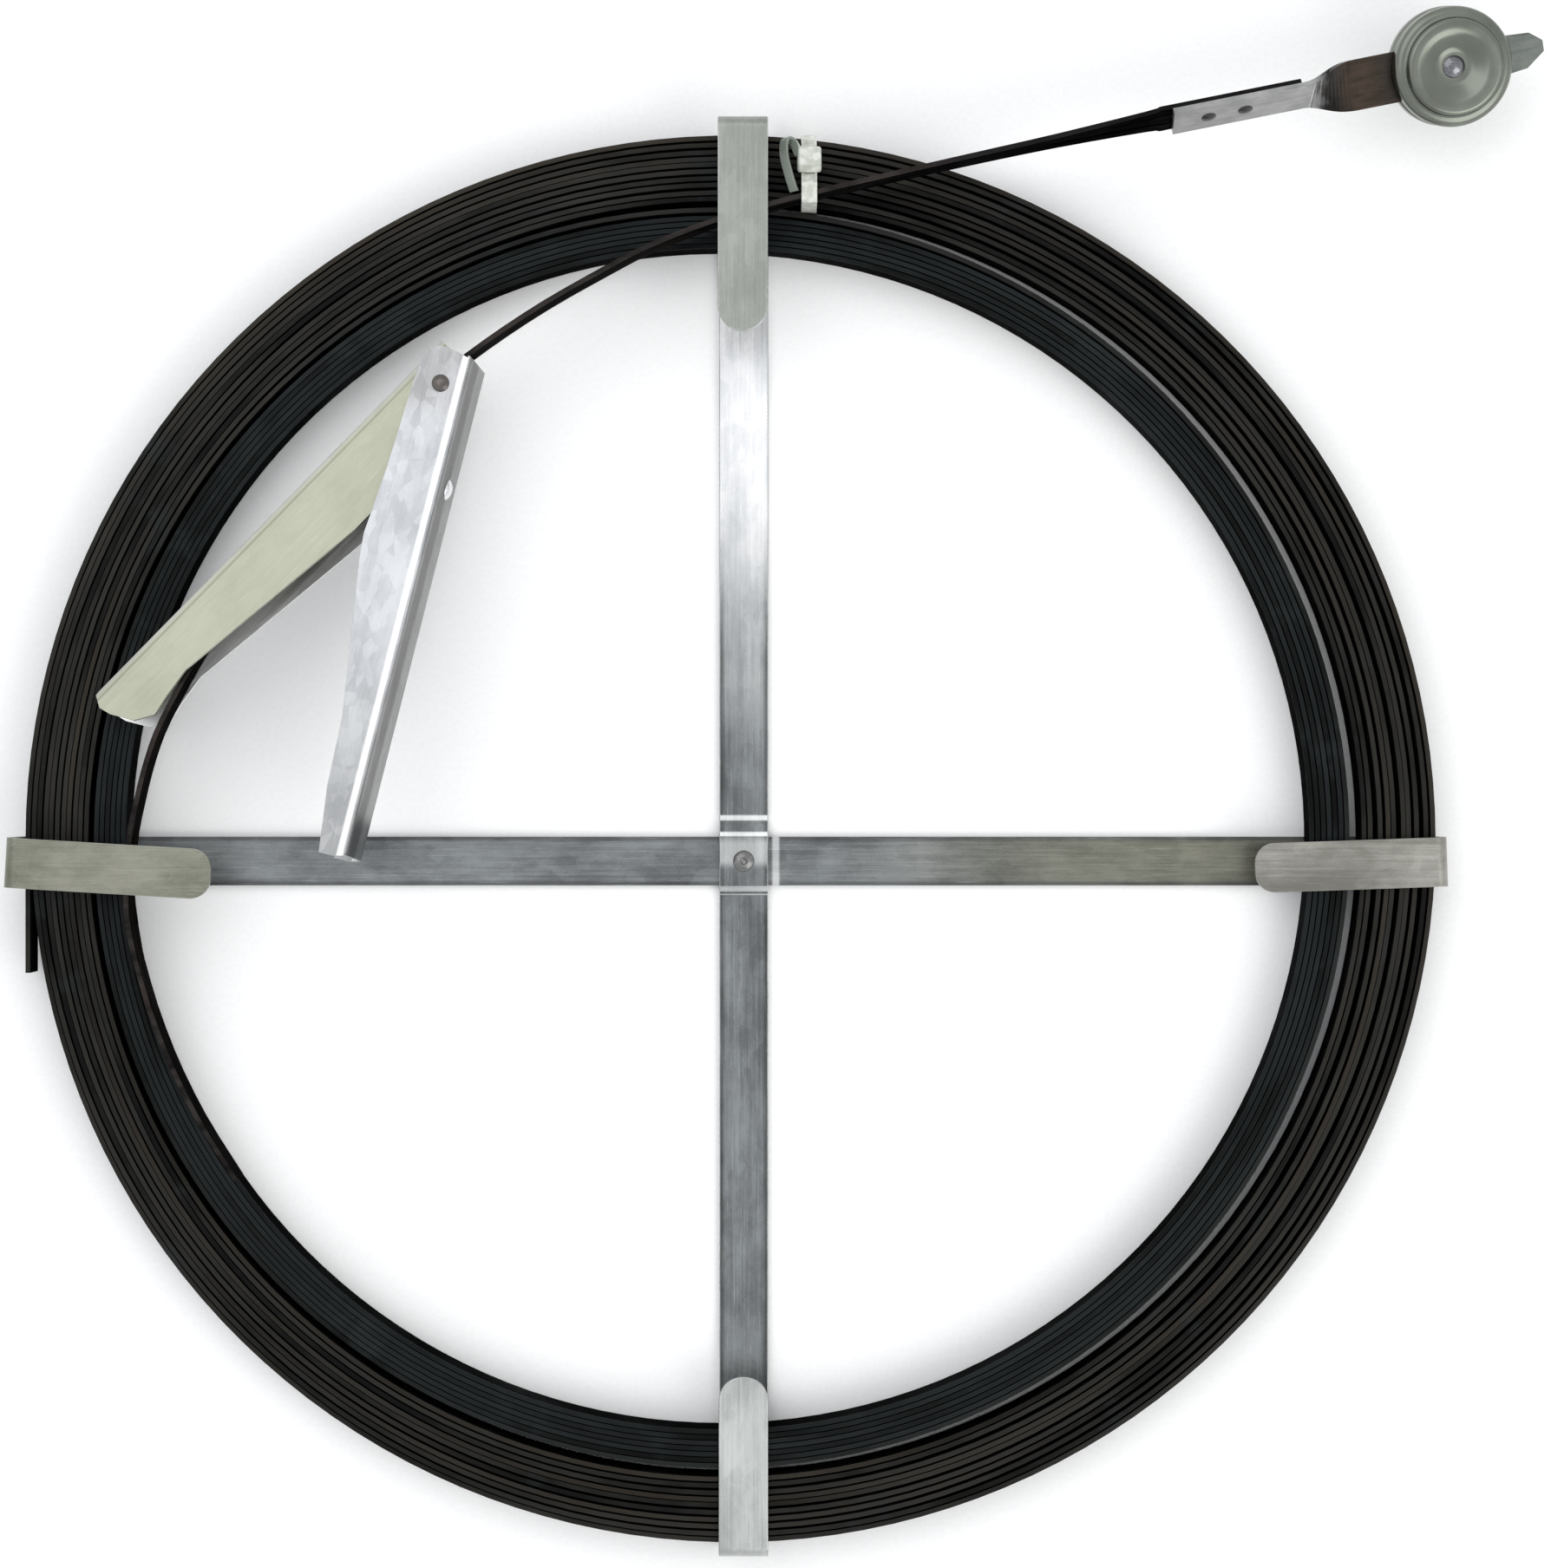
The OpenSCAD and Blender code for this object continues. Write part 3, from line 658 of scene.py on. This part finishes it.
def cup_profile():
    """Outline of one pressed cup: flange at the tongue, step, front face and dish."""
    step = ROLLER_R - 4 * MM  # radius of the front face
    rim = 5.2 * MM  # height of the flange
    floor = SLEEVE_HALF + 3.4 * MM  # height of the dish's inside
    t = CUP_T
    outline = [
        (ROLLER_R - 3 * MM, SLEEVE_HALF),
        (ROLLER_R, SLEEVE_HALF),
        (ROLLER_R, rim + 0.6 * MM),
        (ROLLER_R - 1.4 * MM, rim + 1.9 * MM),
        (step + 0.6 * MM, rim + 2.2 * MM),
        (step, ROLLER_HALF),
        (DISH_R + 4 * MM, ROLLER_HALF),
        (DISH_R - 1.6 * MM, floor + t + 0.1 * MM),
        (ROLLER_RIVET_R, floor + t),
        (ROLLER_RIVET_R, SLEEVE_HALF),
        (SLEEVE_R + 1.5 * MM, SLEEVE_HALF),
        (SLEEVE_R + 1.5 * MM, floor),
        (DISH_R - 0.6 * MM, floor),
        (DISH_R + 3.4 * MM, ROLLER_HALF - t - 0.2 * MM),
        (step - 1.6 * MM, ROLLER_HALF - t),
        (step - 1.2 * MM, rim + 1.3 * MM),
        (ROLLER_R - t, rim - 0.4 * MM),
        (ROLLER_R - t, SLEEVE_HALF + 1.3 * MM),
        (ROLLER_R - 3 * MM, SLEEVE_HALF + 1.3 * MM),
    ]
    radii = [1.6 * MM] * 6 + [5 * MM, 2 * MM] + [0.5 * MM] * 4 + [2 * MM] * 2 + [0.8 * MM] * 5
    return rounded(outline, radii, 7)


roller_joint = joints["roller_spin"]
roller_turn = Vector(roller_joint["axis"]).normalized().to_track_quat("Z", "Y").to_matrix().to_4x4()
ROLLER_LIE = Matrix.Translation(roller_joint["pos_m"]) @ roller_turn


def roller_pieces(materials):
    """Both pressed cups."""
    for name, flip in (("cup_front", 1), ("cup_back", -1)):
        profile = [(r, flip * z) for r, z in cup_profile()]
        cup = lathe(name, profile, materials)
        cup.data.transform(ROLLER_LIE)
        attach(cup, "roller")
        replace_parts(cup, "roller_" + name)


# ---------------------------------------------------------------- stage


def area_light(name, place, aim, size, power, colour):
    """A rectangular lamp at place that points at aim."""
    light = bpy.data.lights.new(name, "AREA")
    light.shape = "RECTANGLE"
    light.size, light.size_y = size
    light.energy = power
    light.color = colour
    lamp = bpy.data.objects.new(name, light)
    lamp.location = place
    lamp.rotation_euler = (Vector(aim) - Vector(place)).to_track_quat("-Z", "Y").to_euler()
    bpy.context.scene.collection.objects.link(lamp)


def studio():
    """A white floor, a soft even sky and large lamps."""
    scene = bpy.context.scene
    world = bpy.data.worlds.new("sky")
    scene.world = world
    world.use_nodes = True
    sky = world.node_tree.nodes["Background"]
    sky.inputs["Color"].default_value = (0.97, 0.985, 1.0, 1.0)
    sky.inputs["Strength"].default_value = 0.97
    area_light("key", (-0.60, 0.70, 1.25), (0, 0.05, 0), (1.5, 1.3), 5.0, (1.0, 1.0, 1.0))
    area_light("fill", (0.9, -0.7, 1.0), (0, 0, 0), (1.0, 1.0), 6.0, (1.0, 0.98, 0.95))
    p = Paint("floor_white", metallic=0.0)
    paper = p.noise(p.place((1.5 * MM, 1.5 * MM, 1.5 * MM)), 3.0)
    p.set(
        Base_Color=p.mix(p.span(paper, 0.3, 0.7), (0.94, 0.94, 0.94), (0.97, 0.97, 0.97)),
        Roughness=0.85,
        Normal=p.bump(paper, 0.05, 0.05 * MM),
    )
    half, z = 3.0, cad_box[0][2] - 0.2 * MM
    corners = [(-half, -half, z), (half, -half, z), (half, half, z), (-half, half, z)]
    mesh = bpy.data.meshes.new("floor")
    mesh.from_pydata(corners, [], [(0, 1, 2, 3)])
    mesh.materials.append(p.material)
    floor = bpy.data.objects.new("floor", mesh)
    scene.collection.objects.link(floor)
    scene.view_settings.view_transform = "Standard"
    scene.view_settings.look = "None"


def camera():
    """Straight down over the middle of the view."""
    data = bpy.data.cameras.new("camera")
    data.sensor_fit = "VERTICAL"
    data.sensor_height = 36
    data.lens = 79.6
    data.clip_start = 0.05
    view = bpy.data.objects.new("camera", data)
    view.location = (10.4 * MM, 25.3 * MM, 1.14)
    bpy.context.scene.collection.objects.link(view)
    bpy.context.scene.camera = view


camera()
studio()


# ---------------------------------------------------------------- zones of tone


def spot(p, which, lie=0.0):
    """One coordinate in millimetres."""
    return p.axis(p.place((MM, MM, MM), lie), which)


def along(which, low, high, share=1.0, lie=0.0):
    """Where one coordinate goes from low to high."""
    return lambda p: p.span(spot(p, which, lie), low, high, 0.0, share)


def near(which, at, half, share=1.0, lie=0.0):
    """Where one coordinate is within half of a value."""
    return lambda p: p.span(
        p.calc("ABSOLUTE", p.calc("SUBTRACT", spot(p, which, lie), at)), 0.4 * half, half, share, 0.0
    )


def outside(which, at, soft, share=1.0):
    """Where one coordinate is further from zero than a value, on both sides."""
    return lambda p: p.span(p.calc("ABSOLUTE", spot(p, which)), at - soft, at, 0.0, share)


def both(first, second):
    """Where two shares overlap."""
    return lambda p: p.calc("MULTIPLY", first(p), second(p))


# ---------------------------------------------------------------- the object

TONGUE_START = (137.9 * MM, 237.9 * MM, 27.4 * MM)
TONGUE_DIR = 11.3
CHANNEL_DIR = 225.6
LEVER_DIR = 256.6
ABOVE_ARM = along(2, 5, 8)  # the hooks and tabs, which stand above the flat arms
STRAP_EDGE = 7.4  # millimetres from the strap's middle line
strap_dark, strap_light = (0.125, 0.133, 0.137), (0.27, 0.287, 0.293)
shade = ((0.050, 0.052, 0.053), (0.11, 0.115, 0.117))
# painted highlight: light tones put where the lamps light the joggle bends and the middle of the vertical
# strap
painted_highlight = ((0.66, 0.67, 0.67), (0.88, 0.89, 0.88))
# painted highlight: near-white tones standing in for glare, on the upper arm and on the shoe rivet
white = ((0.70, 0.71, 0.73), (1.0, 1.0, 1.0))
warm = ((0.14, 0.14, 0.115), (0.25, 0.25, 0.205))
top_tab = ((0.25, 0.263, 0.238), (0.38, 0.395, 0.365))
bottom_tab = ((0.38, 0.40, 0.39), (0.58, 0.60, 0.585))
left_tab = ((0.16, 0.162, 0.128), (0.29, 0.29, 0.24))
right_tab = ((0.20, 0.195, 0.172), (0.37, 0.36, 0.33))

edge_metal = zinc_metal("zinc_edge", (0.30, 0.31, 0.30), (0.58, 0.59, 0.58), 0, (0.22, 0.34))
strap_y = zinc_metal(
    "zinc_strap_y",
    strap_dark,
    strap_light,
    90,
    (0.30, 0.48),
    0.05,
    [
        # painted highlight: the vertical strap goes white towards its top end
        (along(1, 25, 150), *white),
        (both(outside(0, STRAP_EDGE, 1.7, 0.8), along(1, 120, 60)), *shade),
        # painted highlights across the vertical strap near the middle and along the joggle bends
        (near(1, 3, 6, 0.45), *painted_highlight),
        (near(1, 14.2, 1.2), *painted_highlight),
        (near(1, 8.9, 1.0), *painted_highlight),
        (near(1, -9.2, 1.1, 0.8), *painted_highlight),
        (both(ABOVE_ARM, along(1, -10, 10)), *top_tab),
        (both(ABOVE_ARM, along(1, 10, -10)), *bottom_tab),
    ],
)
strap_x = zinc_metal(
    "zinc_strap_x",
    strap_dark,
    strap_light,
    0,
    (0.30, 0.48),
    0.05,
    [
        (along(0, 20, 120), *warm),
        (outside(1, STRAP_EDGE, 1.5, 0.7), *shade),
        # painted highlight along the joggle bend
        (near(0, 10.5, 1.6, 0.6), *painted_highlight),
        (both(ABOVE_ARM, along(0, 10, -10)), *left_tab),
        (both(ABOVE_ARM, along(0, -10, 10)), *right_tab),
    ],
)

PIVOT = Vector(joints["lever_squeeze"]["pos_m"])
lean = Vector((0, 0, 1)).rotation_difference(-Vector(joints["lever_squeeze"]["axis"]))


def handle_lie(direction):
    """Frame of a half of the handle: x from the pivot along it, z along the pivot rivet."""
    turn = Matrix.Rotation(math.radians(direction), 4, "Z")
    return Matrix.Translation(PIVOT) @ lean.to_matrix().to_4x4() @ turn


CHANNEL_LIE = handle_lie(CHANNEL_DIR)
LEVER_LIE = handle_lie(LEVER_DIR)
WEB_FACE = along(1, 7.4, 7.9, lie=LEVER_LIE)  # outside of the lever's web
centre_metal = zinc_metal(
    "zinc_centre_rivet", (0.13, 0.13, 0.128), (0.34, 0.34, 0.33), 0, (0.25, 0.4)
)
# the shoe rivet is painted in near-white tones: a painted highlight
shoe_rivet_metal = zinc_metal("zinc_shoe_rivet", *white, 0, (0.2, 0.34))
roller_rivet_metal = zinc_metal(
    "zinc_roller_rivet", (0.10, 0.10, 0.11), (0.45, 0.45, 0.48), 0, (0.12, 0.22)
)
pivot_metal = zinc_metal("zinc_pivot", (0.10, 0.09, 0.085), (0.24, 0.22, 0.21), 0, (0.3, 0.45))
channel_metal = zinc_metal(
    "zinc_channel",
    (0.33, 0.34, 0.265),
    (0.44, 0.45, 0.36),
    CHANNEL_LIE,
    (0.36, 0.52),
    0.03,
    [
        # painted light: the lower part of the channel, with the far wall's inner face that lies in shade,
        # painted near white
        (along(2, 6, 3, lie=CHANNEL_LIE), (0.85, 0.85, 0.84), (1.0, 1.0, 1.0)),
        # painted shade: a dark line along the web fold; painted highlight: a grey strip on the fold's
        # outside
        (near(1, -8.2, 0.5, 0.7, CHANNEL_LIE), (0.20, 0.20, 0.16), (0.28, 0.28, 0.23)),
        (near(1, -9.6, 0.7, 0.8, CHANNEL_LIE), (0.30, 0.305, 0.28), (0.44, 0.445, 0.42)),
    ],
)
lever_metal = zinc_metal(
    "zinc_lever",
    (0.34, 0.35, 0.365),
    (0.54, 0.55, 0.57),
    LEVER_LIE,
    (0.24, 0.40),
    0.10,
    [
        (along(0, 60, 160, lie=LEVER_LIE), (0.24, 0.245, 0.25), (0.38, 0.385, 0.39)),
        (near(0, -2, 16, 0.8, LEVER_LIE), (0.24, 0.24, 0.24), (0.44, 0.44, 0.45)),
        # painted highlight: a light strip along the fold beside the web
        (near(1, 6.0, 1.5, 0.9, LEVER_LIE), (0.70, 0.70, 0.70), (0.85, 0.85, 0.85)),
        # painted shade: the web's outside, seen at a glancing angle, darkened, with a darker band on the
        # half next to the near wall
        (WEB_FACE, (0.20, 0.20, 0.20), (0.33, 0.33, 0.33)),
        (both(near(2, 4, 6.5, lie=LEVER_LIE), WEB_FACE), (0.07, 0.07, 0.067), (0.14, 0.14, 0.135)),
    ],
)
shoe_metal = zinc_metal("zinc_shoe", (0.20, 0.20, 0.20), (0.42, 0.42, 0.41), CHANNEL_DIR, (0.34, 0.5))
coil_steel = spring_steel("spring_steel_coil", (0.019, 0.0225, 0.0235), (0.031, 0.030, 0.027))
# the wide faces get almost no glancing reflection: painted shade
coil_face = spring_steel("spring_steel_face", (0.030, 0.031, 0.032), (0.034, 0.033, 0.032), True, 0.05)
lead_steel = spring_steel("spring_steel_lead", (0.016, 0.016, 0.017), (0.040, 0.035, 0.033), False)
# the lead's wide faces get almost no glancing reflection: painted shade
lead_face = spring_steel(
    "spring_steel_lead_face", (0.022, 0.022, 0.023), (0.030, 0.028, 0.027), False, 0.05
)
tie_nylon = nylon("nylon_natural")
cup_metal = turned_zinc("zinc_cup_turned", (0.125, 0.135, 0.115), (0.225, 0.24, 0.21), ROLLER_LIE)
tongue_metal = tongue_bands("tongue_banded_tone", TONGUE_START, TONGUE_DIR)
mark_metal = zinc_metal("rivet_dark", (0.05, 0.05, 0.05), (0.14, 0.135, 0.13), TONGUE_DIR, (0.35, 0.5))
sleeve_metal = zinc_metal("sleeve_oiled", (0.28, 0.25, 0.19), (0.46, 0.42, 0.34), TONGUE_DIR, (0.25, 0.4))

REFINED = [
    # node, body, slot, materials, edge radius in millimetres, options
    ("cross_strap_vertical", "frame", "zinc_strap", [strap_y, edge_metal], 0.4, {}),
    ("cross_strap_horizontal", "frame", "zinc_strap", [strap_x, edge_metal], 0.4, {}),
    ("centre_rivet", "frame", "rivet_steel", [centre_metal], 0.2, {}),
    ("tape_lead", "frame", "spring_steel", [lead_steel, lead_face], 0.25, {"sides": True}),
    (
        "clamp_channel",
        "handle",
        "zinc_sheet",
        [channel_metal, edge_metal],
        0.3,
        {"fold": (CHANNEL_LIE, -1)},
    ),
    ("pivot_rivet", "handle", "rivet_steel", [pivot_metal], 0.2, {}),
    ("clamp_lever", "lever", "zinc_sheet", [lever_metal, edge_metal], 0.3, {"fold": (LEVER_LIE, 1)}),
    ("clamp_shoe", "lever", "zinc_sheet", [shoe_metal, edge_metal], 0.3, {}),
    ("shoe_rivet", "lever", "rivet_steel", [shoe_rivet_metal], 0.2, {}),
    ("roller_tongue", "frame", "tongue_steel", [tongue_metal], 0.3, {}),
    ("tongue_rivet_inner", "frame", "rivet_steel", [mark_metal], 0.15, {}),
    ("tongue_rivet_outer", "frame", "rivet_steel", [mark_metal], 0.15, {}),
    ("roller_sleeve", "roller", "sleeve_steel", [sleeve_metal], 0.15, {}),
    ("roller_rivet", "roller", "rivet_steel", [roller_rivet_metal], 0.25, {}),
]
for node, body, slot, materials, edge, options in REFINED:
    piece = refined(node, node + "_shown", materials, edge * MM, **options)
    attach(piece, body)

tie = tie_piece([tie_nylon])
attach(tie, "frame")

coil = coil_piece([coil_steel, coil_face])
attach(coil, "frame")
roller_pieces([cup_metal])
